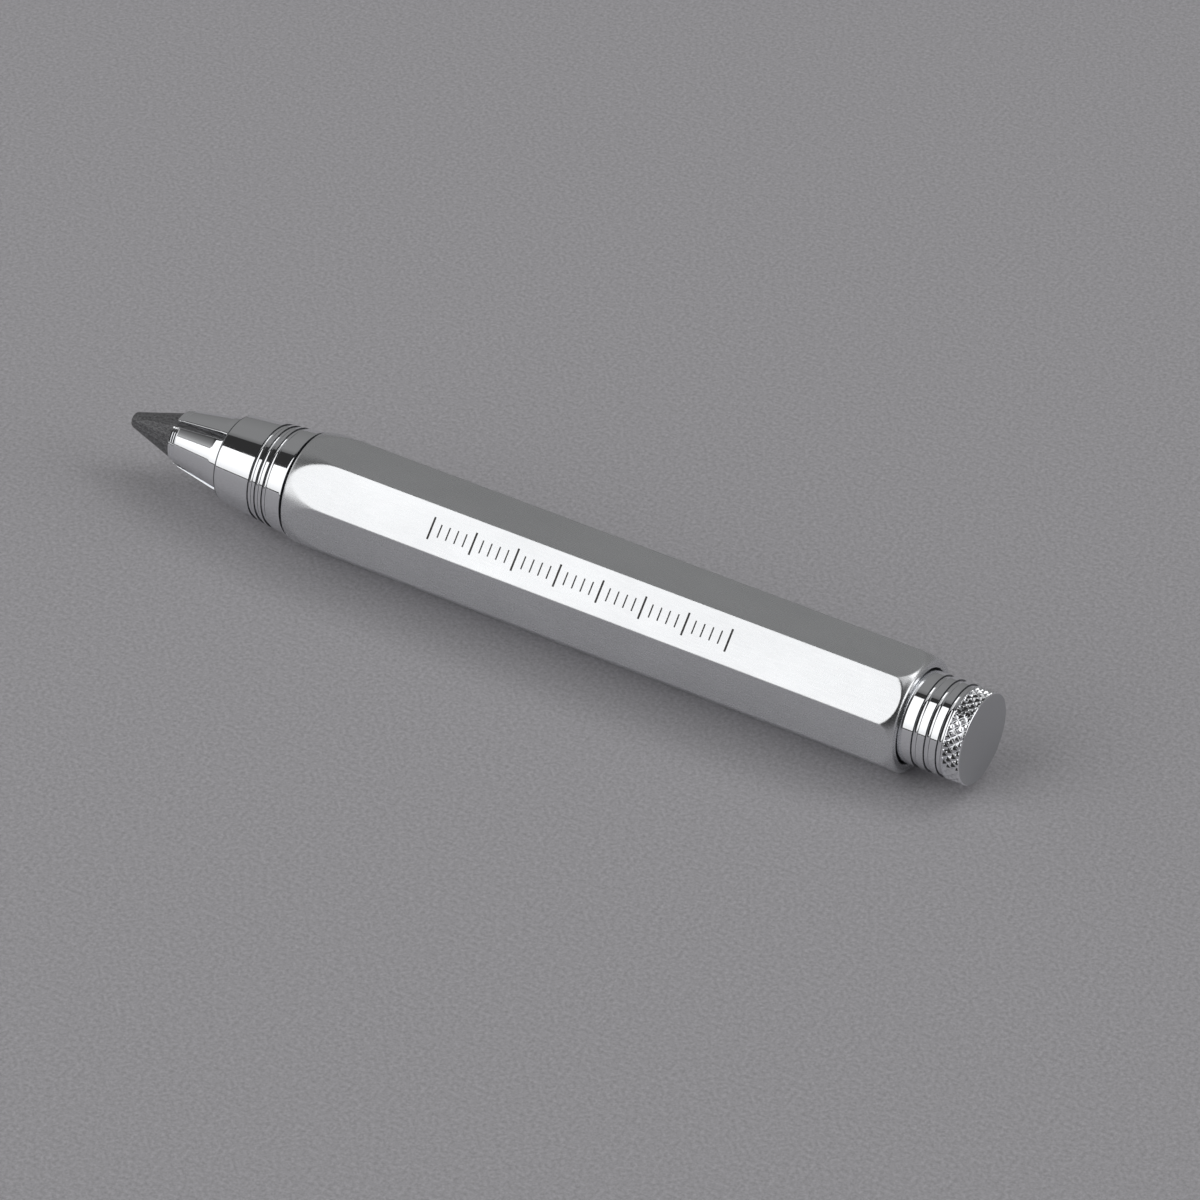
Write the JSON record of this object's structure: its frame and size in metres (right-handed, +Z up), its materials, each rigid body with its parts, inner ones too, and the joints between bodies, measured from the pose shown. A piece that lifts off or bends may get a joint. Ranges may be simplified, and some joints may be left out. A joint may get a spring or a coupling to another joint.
{
  "type": "lead holder",
  "caption": "Pocket lead holder with an eight-sided metal barrel, spring clutch with split jaws, thick graphite lead and a knurled push button.",
  "frame": {"origin": "under the middle of the holder's length, on the surface that it lies on with one flat of the barrel down", "axes": "+X along the holder from the lead's tip to the push button, +Z up out of the surface"},
  "size_m": [0.1014, 0.012, 0.012],
  "materials": {
    "satin_chrome": "satin",
    "polished_chrome": "polished",
    "brass": "satin",
    "spring_steel": "satin",
    "tool_steel": "satin",
    "graphite": "satin"
  },
  "bodies": {
    "holder": {"barrel": "satin_chrome", "front_sleeve": "polished_chrome", "front_spring_washer": "spring_steel", "return_spring": "spring_steel", "rear_guide_bush": "brass"},
    "clutch": {"collet_body": "brass", "inner_tube": "brass", "rear_spring_washer": "spring_steel", "spring_collar": "brass", "retaining_ring": "spring_steel", "tube_end_bush": "brass"},
    "jaw_1": {"collet_jaw_1": "polished_chrome"},
    "jaw_2": {"collet_jaw_2": "polished_chrome"},
    "jaw_3": {"collet_jaw_3": "polished_chrome"},
    "jaw_4": {"collet_jaw_4": "polished_chrome"},
    "lead": {"lead": "graphite"},
    "button": {"push_button": "polished_chrome", "lead_pointer": "tool_steel", "pointer_ring": "spring_steel"}
  },
  "joints": [
    {"name": "push", "type": "slide", "parent": "holder", "child": "clutch", "axis": [-1, 0, 0], "range_m": [0, 0.005], "stiffness_N_per_m": 600, "springref_m": -0.0067, "deforming": ["return_spring"]},
    {"name": "jaw_1_spread", "type": "hinge", "parent": "clutch", "child": "jaw_1", "pos_m": [-0.0317, 0.00109, 0.00906], "axis": [0, 0.9426, -0.3338], "range_deg": [0, 3]},
    {"name": "jaw_2_spread", "type": "hinge", "parent": "clutch", "child": "jaw_2", "pos_m": [-0.0317, -0.00306, 0.00709], "axis": [0, 0.3338, 0.9426], "range_deg": [0, 3]},
    {"name": "jaw_3_spread", "type": "hinge", "parent": "clutch", "child": "jaw_3", "pos_m": [-0.0317, -0.00109, 0.00294], "axis": [0, -0.9426, 0.3338], "range_deg": [0, 3]},
    {"name": "jaw_4_spread", "type": "hinge", "parent": "clutch", "child": "jaw_4", "pos_m": [-0.0317, 0.00306, 0.00492], "axis": [0, -0.3338, -0.9426], "range_deg": [0, 3]},
    {"name": "lead_feed", "type": "slide", "parent": "clutch", "child": "lead", "axis": [-1, 0, 0], "range_m": [-0.006, 0.06]},
    {"name": "button_off", "type": "slide", "parent": "clutch", "child": "button", "axis": [1, 0, 0], "range_m": [0, 0.012]}
  ],
  "couplings": [
    {"joint": "jaw_1_spread", "follows": "push", "rad_per_m": 10.4},
    {"joint": "jaw_2_spread", "follows": "push", "rad_per_m": 10.4},
    {"joint": "jaw_3_spread", "follows": "push", "rad_per_m": 10.4},
    {"joint": "jaw_4_spread", "follows": "push", "rad_per_m": 10.4}
  ]
}
